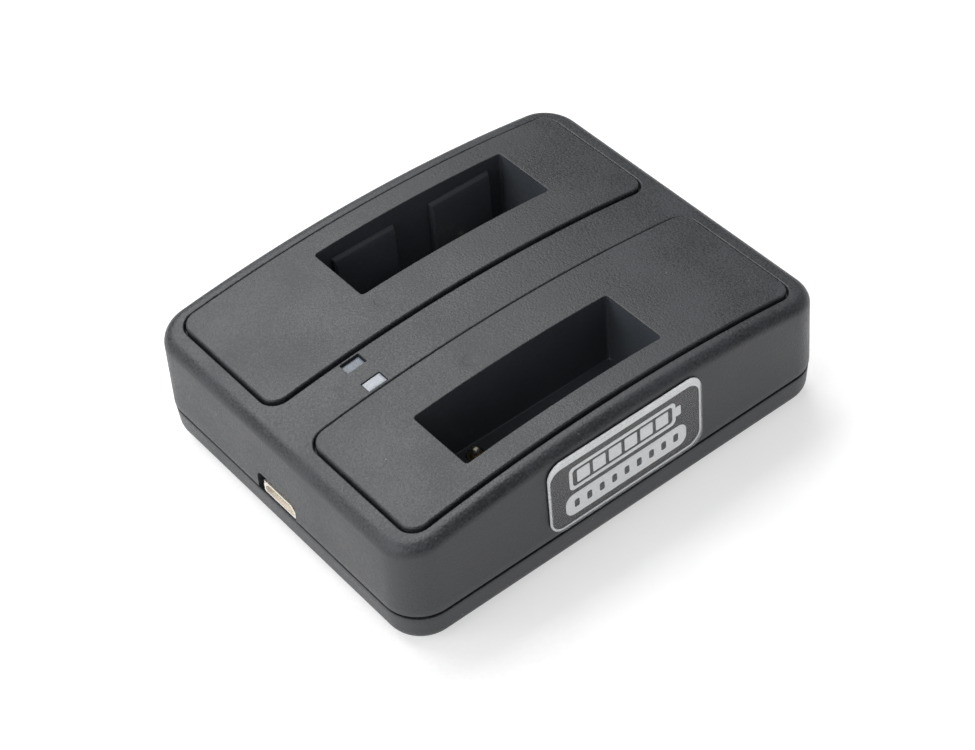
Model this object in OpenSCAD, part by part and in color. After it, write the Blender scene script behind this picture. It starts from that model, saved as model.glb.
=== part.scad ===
// Two-bay desktop charging cradle for small battery packs, fed by a micro-USB socket.
// Units are millimetres, +Z is up. The origin is on the table, at the middle of the case.
// +X runs along the long side, -X is the socket end, -Y is the long side with the label.
// The rear half repeats the front half turned by 180 degrees, so shared shapes are drawn for
// the rear bay and turned for the front one.

/* [Case] */
// Length of the case at the seam
case_l = 78; // [76:1:84]
// Width of the case at the seam
case_w = 62.4; // [62:0.2:64]
// Corner radius of the case seen from above
corner_r = 6; // [5.5:0.1:6.5]
// Height of the seam between the two covers above the table
seam_z = 6.6; // [6.5:0.1:7]
// Height of the middle of the arched top above the table
crown_z = 22.8; // [22.6:0.1:24]
// Radius of the arch of the top
crown_r = 233; // [220:1:400]
// Round along the top edge
top_edge_r = 1.9; // [1:0.1:2]
// Round along the bottom edge
base_edge_r = 2.2; // [1:0.1:2.2]
// Thickness of the side walls
wall = 2; // [1.6:0.1:2.2]
// Thickness of the arched top
top_t = 2.4; // [2.2:0.1:2.6]
// Thickness of the floor of the bottom cover
floor_t = 1.6; // [1.2:0.1:1.8]
// Height that the rubber feet stand out below the bottom cover
foot_h = 0.8; // [0.6:0.1:1]

/* [Bay inserts] */
// Length of an insert's top plate
insert_l = 70; // [69:0.1:71]
// Width of an insert's top plate
insert_w = 23.5; // [23.2:0.1:23.6]
// Distance of an insert's middle from the middle of the case
insert_y = 16.1; // [16:0.1:16.3]
// Corner radius of the top plate
insert_r = 2.5; // [2:0.1:3]
// Height that the top plate stands above the case
insert_proud = 0.4; // [0.2:0.05:0.6]
// Gap between the top plate and the case
insert_gap = 0.35; // [0.2:0.05:0.5]
// Length of the slot that takes a battery pack
slot_l = 35.4; // [34:0.1:36]
// Width of the slot
slot_w = 11.8; // [11.4:0.1:12]
// Slot's middle along the case, for the rear bay
slot_x = 4.7; // [4:0.1:5]
// Slot's middle across the case, for the rear bay
slot_y = 18; // [17.9:0.1:18.2]
// Height of the bottom of the slot above the table
slot_floor_z = 10.2; // [10.1:0.1:10.6]

/* [Contacts] */
// Radius of a spring contact's tip
tip_r = 0.7; // [0.6:0.05:0.8]
// Height of a tip above the bottom of the slot
tip_h = 1.5; // [1.4:0.1:2]
// Distance between the three contacts of a bay
contact_pitch = 4; // [3.6:0.1:4]
// Distance of the contact row from the middle of the case, along it
contact_x = 13.9; // [13:0.1:15]

/* [Socket] */
// Width of the micro-USB socket
usb_w = 7.5; // [7.4:0.1:7.8]
// Height of the socket
usb_h = 2.2; // [2.1:0.1:2.4]
// Offset of the socket from the middle of the end
usb_y = 0; // [-1:0.1:1]

/* [Label] */
// Width of the label
label_w = 28.2; // [24:0.2:32]
// Height of the label
label_h = 13.4; // [11:0.1:13.4]
// Middle of the label along the case
label_x = -0.4; // [-4:0.1:4]
// Thickness of the clear dome
dome_t = 0.65; // [0.4:0.05:0.65]

/* [Hidden] */
$fn = 48;

eps = 0.01;
black = [0.09, 0.09, 0.10];
dark = [0.06, 0.06, 0.07];
steel = [0.75, 0.75, 0.77];
gold = [0.85, 0.68, 0.32];
tin = [0.72, 0.73, 0.74];

half_l = case_l / 2;
half_w = case_w / 2;
// The walls of the top cover lean in towards the top, and it stands out a little over the
// bottom cover, with a shadow groove between the two.
wall_draft = 0.25;
overhang = 0.1;
seam_gap = 0.6;
// Sides of the bottom cover lean in a little towards the table.
base_draft = 0.2;
arc_steps = 8;
side_steps = 12;
edge_steps = 5;

// The bottom cover's tongue stands inside the wall of the top cover.
tongue_t = 0.8;
tongue_h = 1.5;
fit_gap = 0.15;
wall_inset = wall_draft + wall;
tongue_inset = wall_inset + fit_gap;
base_inset = tongue_inset + tongue_t;
floor_z = foot_h + floor_t;

// Corner bosses and screws that hold the two covers together.
boss_x = half_l - corner_r;
boss_y = half_w - corner_r;
boss_r = 3.2;
boss_top_z = 14.6;
boss_gap = 0.1;
base_boss_r = 3.6;
rib_t = 1.2;
rib_l = 4.4;
rib_out = 2.4;
rib_bottom_z = seam_z + 2;
rib_h = boss_top_z - rib_bottom_z - 0.5;
room = 0.3;
case_screw_r = 1.2;
case_screw_l = 10;
head_seat_z = foot_h + 2.4;
head_r = 2;
head_h = 1.3;
head_room = 0.4;
shank_room = 0.15;
bite_room = 0.02;
tip_room = 0.5;

foot_x = 25;
foot_y = 20;
foot_r = 5;
foot_tip_r = 4.3;
foot_seat = 0.5;

// Circuit board.
board_top = 6.4;
board_t = 1.2;
board_bottom = board_top - board_t;
board_gap = 0.3;
board_corner = 1.5;
board_notch_r = base_boss_r + 0.6;
board_post_x = 27;
board_post_y = 9;
board_post_r = 2.2;
small_screw_r = 0.95;
small_head_r = 1.7;
small_head_h = 1.1;

// Tabs in the top cover that the inserts are screwed to.
ledge = 1.6;
ledge_t = 1.2;
tab_z = 13.2;
tab_t = 1.5;
tab_w = 8;
tab_l = 9;
tab_root = 1;
insert_post_x = 31.5;
insert_post_r = 2.2;
insert_post_gap = 0.05;
insert_screw_l = 4.5;

// Well of an insert, below its top plate.
plate_under = ledge_t - 0.1;
well_wall = 1.2;
well_floor_t = 1.4;
well_bottom = slot_floor_z - well_floor_t;
slot_r = 0.5;
pad_w = 11.5;
pad_t = 0.8;
pad_top_z = 20.6;
pad_step = 9.2;

// Spring contacts: the barrels stand through the board, with a flange that rests on it.
barrel_r = 1.3;
barrel_bore_r = 1;
barrel_flange_r = 1.7;
barrel_flange_t = 0.4;
barrel_top = slot_floor_z - 0.2;
barrel_bottom = board_bottom - 1.6;
barrel_floor_z = barrel_bottom + 0.5;
barrel_lip_t = 0.6;
barrel_room = 0.1;
lip_hole_r = tip_r + 0.05;
collar_r = barrel_bore_r - 0.05;
collar_h = 1.2;
collar_top = barrel_top - barrel_lip_t - 0.02;
collar_bottom = collar_top - collar_h;
tip_z = slot_floor_z + tip_h;
spring_wire_r = 0.09;
spring_mean_r = 0.7;
spring_end_gap = 0.02;
spring_turns = 6;
spring_steps = 10;
spring_sides = 5;
solder_r = 1.9;
solder_h = 0.5;

// Lamp windows on the strip between the inserts, at the socket end.
window_x = -21.95;
window_y = 2.5;
window_l = 3.4;
window_w = 2.1;
guide_h = 8;
guide_wall = 0.9;
guide_under = 1;
pipe_gap = 0.08;
pipe_flange = 0.4;
pipe_flange_t = 1.2;
lamp_h = 1.2;
pipe_bottom = board_top + lamp_h + 0.2;
front_pipe_sunk = 0.1;
rear_pipe_sunk = 0.45;

// Micro-USB socket.
usb_x = 0.3 - half_l;
usb_depth = 5.2;
usb_wall = 0.28;
usb_corner = 0.8;
usb_low_corner = 0.3;
usb_gap = 0.02;
usb_open_y = usb_y + 0.3;
usb_open_w = 9.2;
usb_open_h = 3.3;
usb_open_r = 1.2;
flare_l = 0.5;
flare_out = 0.08;
ear_x = usb_x + 0.55;
ear_l = 0.5;
ear_w = 0.5;
ear_h = 0.7;
ear_z = 1.3;
board_tab_in = 1.5;
board_tab_side = 1.3;
tongue_plate_w = 5.4;
tongue_plate_t = 0.65;
strip_w = 0.3;
strip_t = 0.2;
strip_l = 3;
strip_step = 0.65;

label_t = 0.2;
print_t = 0.05;
label_r = 2.5;
label_lift = 0.8;
label_gap = 0.02;
label_tilt = atan(wall_draft / (crown_z - top_edge_r - seam_z));
dome_edge = 0.7;

// Height of the arched top over the table, at a distance x from the middle.
function crown(x) = crown_z - crown_r + sqrt(crown_r * crown_r - x * x);

// One long side of the case outline, from the -X end to the +X end.
function side_points(inset) = concat(
    [for (i = [0:arc_steps]) let (a = 180 - 90 * i / arc_steps)
        [-(half_l - corner_r) + (corner_r - inset) * cos(a),
         half_w - corner_r + (corner_r - inset) * sin(a)]],
    [for (i = [1:side_steps - 1])
        [(half_l - corner_r) * (2 * i / side_steps - 1), half_w - inset]],
    [for (i = [0:arc_steps]) let (a = 90 - 90 * i / arc_steps)
        [half_l - corner_r + (corner_r - inset) * cos(a),
         half_w - corner_r + (corner_r - inset) * sin(a)]]
);
// The whole outline: the +Y side, then the -Y side back again.
function outline(inset) = let (s = side_points(inset), n = len(s))
    concat(s, [for (i = [0:n - 1]) [s[n - 1 - i][0], -s[n - 1 - i][1]]]);

// A skin through rings of equal length, closed at both ends by strips across the case.
module ring_solid(rings) {
    n = len(rings[0]);
    levels = len(rings);
    half = n / 2;
    walls = [for (k = [0:levels - 2], i = [0:n - 1]) let (j = (i + 1) % n)
        each [[k * n + i, k * n + j, (k + 1) * n + j], [k * n + i, (k + 1) * n + j, (k + 1) * n + i]]];
    lid = (levels - 1) * n;
    top = [for (i = [0:half - 2])
        each [[lid + i, lid + i + 1, lid + n - 2 - i], [lid + i, lid + n - 2 - i, lid + n - 1 - i]]];
    bottom = [for (i = [0:half - 2])
        each [[i + 1, i, n - 1 - i], [i + 1, n - 1 - i, n - 2 - i]]];
    polyhedron(points = [for (r = rings) each r], faces = concat(walls, top, bottom));
}

module rounded_rect(l, w, r) {
    square([l - 2 * r, w], center = true);
    square([l, w - 2 * r], center = true);
    for (x = [-1, 1], y = [-1, 1]) translate([x * (l / 2 - r), y * (w / 2 - r)]) circle(r);
}

// Everything under the arch of the top, lowered by "down".
module under_arch(down) {
    translate([0, half_w + 1, crown_z - crown_r]) rotate([90, 0, 0])
        cylinder(r = crown_r - down, h = case_w + 2, $fn = 360);
}

module at_corners(x, y) {
    for (sx = [-1, 1], sy = [-1, 1]) translate([sx * x, sy * y, 0]) children();
}

// The front bay is the rear bay turned half round.
module front() { rotate([0, 0, 180]) children(); }

module both() {
    children();
    front() children();
}

// ---------- covers ----------

module upper_outside() {
    rings = concat(
        [[for (p = outline(0)) [p[0], p[1], seam_z]]],
        [for (k = [0:edge_steps]) let (a = 90 * k / edge_steps)
            [for (p = outline(wall_draft + top_edge_r * (1 - cos(a))))
                [p[0], p[1], crown(p[0]) - top_edge_r * (1 - sin(a))]]]
    );
    ring_solid(rings);
}

module lower_outside() {
    top_z = seam_z - seam_gap;
    rings = concat(
        [for (k = [0:edge_steps]) let (a = 90 * k / edge_steps)
            [for (p = outline(overhang + base_draft + base_edge_r * (1 - sin(a))))
                [p[0], p[1], foot_h + base_edge_r * (1 - cos(a))]]],
        [[for (p = outline(overhang)) [p[0], p[1], top_z]]]
    );
    ring_solid(rings);
}

module case_prism(inset, z0, z1) {
    translate([0, 0, z0]) linear_extrude(z1 - z0)
        rounded_rect(case_l - 2 * inset, case_w - 2 * inset, corner_r - inset);
}

// Ribs that tie the corner bosses to the corners of the case.
module corner_ribs(l, t, z0, h) {
    for (sx = [-1, 1], sy = [-1, 1]) translate([sx * boss_x, sy * boss_y, z0 + h / 2])
        rotate([0, 0, sx * sy * 45]) translate([sx * rib_out, 0, 0]) cube([l, t, h], center = true);
}

module socket_opening() {
    below = 2;
    translate([-half_l - 1, usb_open_y, seam_z]) rotate([90, 0, 90]) linear_extrude(wall + 3) {
        translate([-usb_open_w / 2, -below]) square([usb_open_w, usb_open_h + below - usb_open_r]);
        translate([usb_open_r - usb_open_w / 2, -below])
            square([usb_open_w - 2 * usb_open_r, usb_open_h + below]);
        for (s = [-1, 1]) translate([s * (usb_open_w / 2 - usb_open_r), usb_open_h - usb_open_r])
            circle(usb_open_r);
    }
}

module windows(l, w, z0, z1) {
    for (s = [-1, 1]) translate([window_x - l / 2, s * window_y - w / 2, z0]) cube([l, w, z1 - z0]);
}

module top_cover() {
    color(black) difference() {
        union() {
            difference() {
                upper_outside();
                intersection() {
                    case_prism(wall_inset, seam_z - 1, crown_z);
                    under_arch(top_t);
                }
            }
            at_corners(boss_x, boss_y) translate([0, 0, seam_z + boss_gap])
                cylinder(r = boss_r, h = boss_top_z - seam_z - boss_gap);
            corner_ribs(rib_l, rib_t, rib_bottom_z, rib_h);
            both() for (s = [-1, 1])
                translate([s * (half_l - tab_root - tab_l / 2), insert_y, tab_z + tab_t / 2])
                    cube([tab_l, tab_w, tab_t], center = true);
            intersection() {
                translate([window_x, 0, crown_z - guide_h / 2])
                    cube([window_l + 2 * guide_wall, 2 * (window_y + guide_wall) + window_w, guide_h],
                         center = true);
                under_arch(guide_under);
            }
        }
        both() difference() {
            translate([0, insert_y, tab_z + tab_t + eps]) linear_extrude(crown_z)
                rounded_rect(insert_l + 2 * insert_gap, insert_w + 2 * insert_gap, insert_r + insert_gap);
            under_arch(ledge_t);
        }
        both() translate([0, insert_y, tab_z + tab_t + eps]) linear_extrude(crown_z)
            rounded_rect(insert_l - 2 * ledge, insert_w - 2 * ledge, insert_r);
        both() for (s = [-1, 1]) translate([s * insert_post_x, insert_y, tab_z - 1])
            cylinder(r = small_screw_r + shank_room, h = tab_t + 2);
        at_corners(boss_x, boss_y) translate([0, 0, seam_z])
            cylinder(r = case_screw_r + bite_room, h = head_seat_z + case_screw_l + tip_room - seam_z);
        windows(window_l, window_w, crown_z - guide_h - 1, crown_z + 1);
        socket_opening();
    }
}

module bottom_cover() {
    board_tab_l = 5;
    color(black) difference() {
        union() {
            difference() {
                union() {
                    lower_outside();
                    case_prism(tongue_inset, seam_z - 1, seam_z + tongue_h);
                }
                case_prism(base_inset, floor_z, seam_z + tongue_h + 1);
            }
            at_corners(boss_x, boss_y) translate([0, 0, floor_z - eps])
                cylinder(r = base_boss_r, h = seam_z - floor_z + eps);
            at_corners(board_post_x, board_post_y) translate([0, 0, floor_z - eps])
                cylinder(r = board_post_r, h = board_bottom - floor_z + eps);
        }
        // Room in the tongue for the bosses and ribs of the top cover.
        at_corners(boss_x, boss_y) translate([0, 0, seam_z]) cylinder(r = boss_r + room, h = 2 * tongue_h);
        corner_ribs(rib_l + 2 * room, rib_t + 2 * room, seam_z, 2 * tongue_h);
        at_corners(boss_x, boss_y) translate([0, 0, -1]) {
            cylinder(r = case_screw_r + shank_room, h = seam_z + 2);
            cylinder(r = head_r + head_room, h = head_seat_z + 1);
        }
        at_corners(board_post_x, board_post_y) translate([0, 0, floor_z - tip_room])
            cylinder(r = small_screw_r + bite_room, h = board_bottom);
        at_corners(foot_x, foot_y) translate([0, 0, -1])
            cylinder(r = foot_r + room / 3, h = foot_h + foot_seat + 1);
        // Way in for the socket and for the tab of the board that carries it.
        translate([board_tab_in - room - half_l, usb_y - usb_w / 2 - board_tab_side - room,
                   board_bottom - room])
            cube([board_tab_l, usb_w + 2 * (board_tab_side + room), seam_z]);
    }
}

module rubber_feet() {
    side_z = 0.5;
    side_r = foot_r - 0.2;
    color([0.05, 0.05, 0.05]) at_corners(foot_x, foot_y) rotate_extrude()
        polygon([[0, 0], [foot_tip_r, 0], [side_r, side_z], [foot_r, foot_h + foot_seat],
                 [0, foot_h + foot_seat]]);
}

// ---------- bay inserts ----------

module slot_cut(z0) {
    translate([slot_x, slot_y, z0]) linear_extrude(crown_z) rounded_rect(slot_l, slot_w, slot_r);
}

module bay_insert() {
    seat_z = tab_z + tab_t + insert_post_gap;
    difference() {
        union() {
            difference() {
                intersection() {
                    translate([0, insert_y, seat_z]) linear_extrude(crown_z)
                        rounded_rect(insert_l, insert_w, insert_r);
                    under_arch(-insert_proud);
                }
                under_arch(plate_under);
            }
            intersection() {
                translate([slot_x, slot_y, well_bottom]) linear_extrude(crown_z - well_bottom)
                    rounded_rect(slot_l + 2 * well_wall, slot_w + 2 * well_wall, well_wall);
                under_arch(0);
            }
            for (s = [-1, 1]) intersection() {
                translate([s * insert_post_x, insert_y, seat_z]) cylinder(r = insert_post_r, h = crown_z);
                under_arch(0);
            }
        }
        difference() {
            slot_cut(slot_floor_z);
            for (s = [-1, 1]) translate([slot_x + s * pad_step - pad_w / 2, slot_y + slot_w / 2 - pad_t, 0])
                cube([pad_w, pad_t + 1, pad_top_z]);
        }
        for (i = [1:3]) at_contact(i) translate([0, 0, well_bottom - 1])
            cylinder(r = barrel_r + barrel_room, h = well_floor_t + 2);
        for (s = [-1, 1]) translate([s * insert_post_x, insert_y, tab_z])
            cylinder(r = small_screw_r + bite_room, h = insert_screw_l + tip_room);
    }
}

module bay_insert_rear() { color(dark) bay_insert(); }

module bay_insert_front() { color(dark) front() bay_insert(); }

// ---------- spring contacts ----------

module at_contact(i) {
    translate([contact_x, slot_y + (i - 2) * contact_pitch, 0]) children();
}

module contact_barrel() {
    lip_z = barrel_top - barrel_lip_t;
    rotate_extrude() polygon([
        [0, barrel_bottom], [barrel_r, barrel_bottom], [barrel_r, board_top],
        [barrel_flange_r, board_top], [barrel_flange_r, board_top + barrel_flange_t],
        [barrel_r, board_top + barrel_flange_t], [barrel_r, barrel_top], [lip_hole_r, barrel_top],
        [lip_hole_r, lip_z], [barrel_bore_r, lip_z], [barrel_bore_r, barrel_floor_z], [0, barrel_floor_z]
    ]);
}

module contact_barrels() {
    for (i = [1:3]) at_contact(i) contact_barrel();
}

module contact_barrels_rear() { color(gold) contact_barrels(); }

module contact_barrels_front() { color(gold) front() contact_barrels(); }

// A plunger: wide collar inside the barrel, narrow shaft, domed tip.
module contact_plunger(i) {
    color(gold) at_contact(i) {
        translate([0, 0, tip_z - tip_r]) intersection() {
            sphere(r = tip_r);
            cylinder(r = tip_r + 1, h = tip_r + 1);
        }
        translate([0, 0, collar_bottom]) cylinder(r = tip_r, h = tip_z - tip_r - collar_bottom);
        translate([0, 0, collar_bottom]) cylinder(r = collar_r, h = collar_h);
    }
}

module contact_plunger_front(i) { front() contact_plunger(i); }

// A coil of round wire between the barrel's floor and the plunger's collar.
module contact_spring(i) {
    z0 = barrel_floor_z + spring_wire_r + spring_end_gap;
    rise = collar_bottom - spring_wire_r - spring_end_gap - z0;
    n = spring_turns * spring_steps;
    ring = [for (k = [0:n]) let (a = 360 * k / spring_steps, z = z0 + rise * k / n)
        [for (s = [0:spring_sides - 1]) let (b = 360 * s / spring_sides)
            let (r = spring_mean_r + spring_wire_r * cos(b))
            [r * cos(a), r * sin(a), z + spring_wire_r * sin(b)]]];
    m = spring_sides;
    sides = [for (k = [0:n - 1], s = [0:m - 1]) let (t = (s + 1) % m)
        each [[k * m + s, k * m + t, (k + 1) * m + t], [k * m + s, (k + 1) * m + t, (k + 1) * m + s]]];
    start = [[for (s = [0:m - 1]) m - 1 - s]];
    end = [[for (s = [0:m - 1]) n * m + s]];
    color(steel) at_contact(i)
        polyhedron(points = [for (r = ring) each r], faces = concat(sides, start, end));
}

module contact_spring_front(i) { front() contact_spring(i); }

// ---------- circuit board and what it carries ----------

module circuit_board() {
    l = case_l - 2 * (base_inset + board_gap);
    w = case_w - 2 * (base_inset + board_gap);
    color([0.05, 0.28, 0.15]) translate([0, 0, board_bottom]) difference() {
        union() {
            linear_extrude(board_t) rounded_rect(l, w, board_corner);
            translate([board_tab_in - half_l, usb_y - usb_w / 2 - board_tab_side, 0])
                cube([base_inset + board_gap, usb_w + 2 * board_tab_side, board_t]);
        }
        at_corners(boss_x, boss_y) translate([0, 0, -1]) cylinder(r = board_notch_r, h = board_t + 2);
        at_corners(boss_x + corner_r / 2, boss_y + corner_r / 2)
            cube([2 * board_notch_r - 1, 2 * board_notch_r - 1, 3 * board_t], center = true);
        at_corners(board_post_x, board_post_y) translate([0, 0, -1])
            cylinder(r = small_screw_r + shank_room, h = board_t + 2);
        both() for (i = [1:3]) at_contact(i) translate([0, 0, -1])
            cylinder(r = barrel_r + barrel_room, h = board_t + 2);
    }
}

// Outline of the socket's shell, with its upper corners cut.
module usb_outline(grow) {
    w = usb_w / 2 + grow;
    h = usb_h / 2 + grow;
    c = usb_corner;
    b = usb_low_corner;
    polygon([[-w, b - h], [b - w, -h], [w - b, -h], [w, b - h],
             [w, h - c], [w - c, h], [c - w, h], [-w, h - c]]);
}

module socket_place(x) {
    translate([x, usb_y, board_top + usb_h / 2]) rotate([90, 0, 90]) children();
}

module usb_socket_shell() {
    color(steel) {
        difference() {
            union() {
                socket_place(usb_x) linear_extrude(usb_depth) usb_outline(0);
                difference() {
                    socket_place(usb_x) linear_extrude(flare_l) usb_outline(flare_out);
                    translate([usb_x - 1, usb_y - usb_w, board_top - 2]) cube([3, 2 * usb_w, 2]);
                }
            }
            socket_place(usb_x - 1) linear_extrude(usb_depth + 1 - usb_wall) usb_outline(-usb_wall);
        }
        for (s = [-1, 1]) translate([ear_x, usb_y + s * (usb_w + ear_w) / 2, board_top + ear_z])
            cube([ear_l, ear_w, ear_h], center = true);
    }
}

module usb_socket_tongue() {
    back = usb_x + usb_depth - usb_wall - usb_gap;
    block_l = 0.9;
    block_w = usb_w - 2 * (usb_wall + usb_corner + usb_gap);
    block_h = usb_h - 2 * (usb_wall + usb_gap);
    plate_l = usb_depth - usb_wall - 0.7;
    color([0.9, 0.88, 0.8]) {
        translate([back - block_l, usb_y - block_w / 2, board_top + usb_wall + usb_gap])
            cube([block_l, block_w, block_h]);
        translate([back - plate_l, usb_y - tongue_plate_w / 2, board_top + usb_h / 2])
            cube([plate_l, tongue_plate_w, tongue_plate_t]);
    }
}

module usb_socket_contacts() {
    color(gold) for (i = [-2:2])
        translate([usb_x + 0.7, usb_y + i * strip_step - strip_w / 2, board_top + usb_h / 2 - strip_t])
            cube([strip_l, strip_w, strip_t]);
}

module led_body(s) {
    base_l = 3.2;
    base_h = 0.5;
    lamp_w = 1.6;
    translate([window_x, s * window_y, board_top]) {
        color([0.9, 0.9, 0.86]) translate([0, 0, base_h / 2]) cube([base_l, lamp_w, base_h], center = true);
        color([0.8, 0.9, 0.8]) translate([0, 0, lamp_h / 2]) cube([2, lamp_w, lamp_h], center = true);
    }
}

module led_front() { led_body(-1); }

module led_rear() { led_body(1); }

module light_pipe(s, sunk) {
    l = window_l - 2 * pipe_gap;
    w = window_w - 2 * pipe_gap;
    color([0.85, 0.88, 0.9]) {
        intersection() {
            translate([window_x - l / 2, s * window_y - w / 2, pipe_bottom]) cube([l, w, crown_z]);
            under_arch(sunk);
        }
        translate([window_x, s * window_y, pipe_bottom + pipe_flange_t / 2])
            cube([l + 2 * pipe_flange, w + 2 * pipe_flange, pipe_flange_t], center = true);
    }
}

module light_pipe_front() { light_pipe(-1, front_pipe_sunk); }

module light_pipe_rear() { light_pipe(1, rear_pipe_sunk); }

// A small-outline chip with four leads on each long side.
module chip_at(x, y) {
    body = [4.9, 3.9, 1.45];
    lift = 0.15;
    lead = [0.42, 1.1, 0.4];
    pitch = 1.27;
    translate([x, y, board_top]) {
        color([0.08, 0.08, 0.09]) translate([0, 0, lift + body[2] / 2]) cube(body, center = true);
        color(tin) for (i = [-1.5:1.5], s = [-1, 1])
            translate([i * pitch, s * (body[1] + lead[1] - 0.2) / 2, lead[2] / 2]) cube(lead, center = true);
    }
}

module charge_chip_rear() { chip_at(-2, 7.8); }

module charge_chip_front() { front() chip_at(-2, 7.8); }

// A wound inductor: square foot, drum and upper flange.
module inductor_at(x, y) {
    foot = [5.8, 5.2, 0.7];
    drum_h = 2.2;
    color([0.15, 0.14, 0.13]) translate([x, y, board_top]) {
        translate([0, 0, foot[2] / 2]) cube(foot, center = true);
        translate([0, 0, foot[2] - eps]) cylinder(r = 2.5, h = drum_h + 2 * eps);
        translate([0, 0, foot[2] + drum_h]) cylinder(r = 2.9, h = 0.7);
    }
}

module inductor_rear() { inductor_at(-12, 7.4); }

module inductor_front() { front() inductor_at(-12, 7.4); }

module bulk_capacitor() {
    base_w = 5.3;
    base_h = 0.8;
    color([0.7, 0.71, 0.73]) translate([-29, 18.5, board_top]) {
        translate([0, 0, base_h / 2]) cube([base_w, base_w, base_h], center = true);
        translate([0, 0, base_h - eps]) cylinder(r = 2.5, h = 4.6);
    }
}

// A small part soldered flat to the board: size is length, width, height.
module chip_part(x, y, size, turn) {
    translate([x, y, board_top + size[2] / 2]) rotate([0, 0, turn]) cube(size, center = true);
}

module ceramic_capacitors() {
    large = [3.2, 1.6, 1.4];
    small = [2, 1.25, 1];
    color([0.72, 0.58, 0.42]) both() {
        chip_part(4, 8, large, 90);
        chip_part(-18, 8, large, 90);
        chip_part(-2, 12.2, small, 0);
    }
}

module resistors() {
    size = [2, 1.25, 0.55];
    color([0.1, 0.1, 0.11]) both() {
        for (i = [0:2]) chip_part(8 + 2.4 * i, 6, size, 90);
        chip_part(18, 3, size, 0);
    }
}

// Solder cones round the contact barrels, below the board.
module solder_joints() {
    color(tin) both() for (i = [1:3]) at_contact(i) translate([0, 0, board_bottom - solder_h])
        difference() {
            cylinder(r1 = barrel_r + barrel_room, r2 = solder_r, h = solder_h);
            translate([0, 0, -1]) cylinder(r = barrel_r, h = 2);
        }
}

// ---------- fasteners ----------

// A self-tapping screw that points up, with its head below z = 0.
module screw(r, l, head_radius, head_height) {
    pitch = 1.1;
    point = 0.5;
    edge = 0.3;
    core = r * 0.78;
    teeth = floor(l / pitch) - 1;
    thread = [for (i = [0:teeth - 1]) let (z = l - point - edge - i * pitch)
        each [[core, z], [r, z - edge], [core, z - 2 * edge]]];
    difference() {
        rotate_extrude() polygon(concat([[0, l], [core, l - point]], thread,
            [[core, 0], [head_radius, 0], [head_radius, edge - head_height],
             [head_radius - edge, -head_height], [0, -head_height]]));
        for (a = [0, 90]) rotate([0, 0, a]) translate([0, 0, -head_height])
            cube([head_radius * 1.1, head_radius * 0.28, head_height], center = true);
    }
}

module case_screws() {
    color(steel) at_corners(boss_x, boss_y) translate([0, 0, head_seat_z])
        screw(case_screw_r, case_screw_l, head_r, head_h);
}

module board_screws() {
    color(steel) at_corners(board_post_x, board_post_y) translate([0, 0, board_top]) mirror([0, 0, 1])
        screw(small_screw_r, board_top - floor_z, small_head_r, small_head_h);
}

module insert_screws() {
    color(steel) both() for (s = [-1, 1]) translate([s * insert_post_x, insert_y, tab_z])
        screw(small_screw_r, insert_screw_l, small_head_r, small_head_h);
}

// ---------- label ----------

// Places a shape, drawn face up, on the leaning -Y wall.
module on_label(depth) {
    translate([label_x, -half_w, seam_z]) rotate([90 - label_tilt, 0, 0])
        translate([0, label_lift + label_h / 2, label_gap + depth]) children();
}

module label_base() {
    color([0.12, 0.12, 0.13]) on_label(0) linear_extrude(label_t) rounded_rect(label_w, label_h, label_r);
}

// Plain battery mark over a charge bar.
module label_print() {
    rim = 0.35;
    band = 1;
    mark = [14, 4.6];
    mark_y = 2.4;
    line = 0.6;
    cell = [2, 2.4];
    cell_step = 3;
    bar = [22, 3.2];
    bar_y = -3.2;
    color([0.82, 0.83, 0.84]) on_label(label_t) linear_extrude(print_t) {
        difference() {
            rounded_rect(label_w, label_h, label_r);
            translate([0, (rim - band) / 2])
                rounded_rect(label_w - 2 * rim, label_h - rim - band, label_r - rim);
        }
        translate([0, mark_y]) difference() {
            rounded_rect(mark[0], mark[1], line + 0.2);
            rounded_rect(mark[0] - 2 * line, mark[1] - 2 * line, line);
        }
        translate([mark[0] / 2 + line, mark_y]) square([1, 2], center = true);
        for (i = [-1.5:1.5]) translate([i * cell_step, mark_y]) square(cell, center = true);
        translate([0, bar_y]) rounded_rect(bar[0], bar[1], 1.2);
    }
}

module label_dome() {
    inner_l = label_w - 2 * dome_edge;
    inner_h = label_h - 2 * dome_edge;
    color([0.85, 0.88, 0.9, 0.35]) on_label(label_t + print_t) hull() {
        linear_extrude(dome_t * 0.4) rounded_rect(label_w, label_h, label_r, $fn = 32);
        linear_extrude(dome_t) rounded_rect(inner_l, inner_h, label_r - dome_edge, $fn = 32);
    }
}

bottom_cover();
top_cover();
bay_insert_front();
bay_insert_rear();
circuit_board();
usb_socket_shell();
usb_socket_tongue();
usb_socket_contacts();
contact_barrels_front();
contact_barrels_rear();
contact_plunger_front(1);  // contact_plunger_front_1
contact_plunger_front(2);  // contact_plunger_front_2
contact_plunger_front(3);  // contact_plunger_front_3
contact_plunger(1);  // contact_plunger_rear_1
contact_plunger(2);  // contact_plunger_rear_2
contact_plunger(3);  // contact_plunger_rear_3
contact_spring_front(1);  // contact_spring_front_1
contact_spring_front(2);  // contact_spring_front_2
contact_spring_front(3);  // contact_spring_front_3
contact_spring(1);  // contact_spring_rear_1
contact_spring(2);  // contact_spring_rear_2
contact_spring(3);  // contact_spring_rear_3
led_front();
led_rear();
light_pipe_front();
light_pipe_rear();
charge_chip_front();
charge_chip_rear();
inductor_front();
inductor_rear();
bulk_capacitor();
ceramic_capacitors();
resistors();
solder_joints();
case_screws();
board_screws();
insert_screws();
rubber_feet();
label_base();
label_print();
label_dome();
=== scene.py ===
"""Looks of a two-bay battery charging cradle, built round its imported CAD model.

Lengths inside this script are in millimetres, and each mesh is scaled to metres as it is made.
"""

import math

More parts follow.
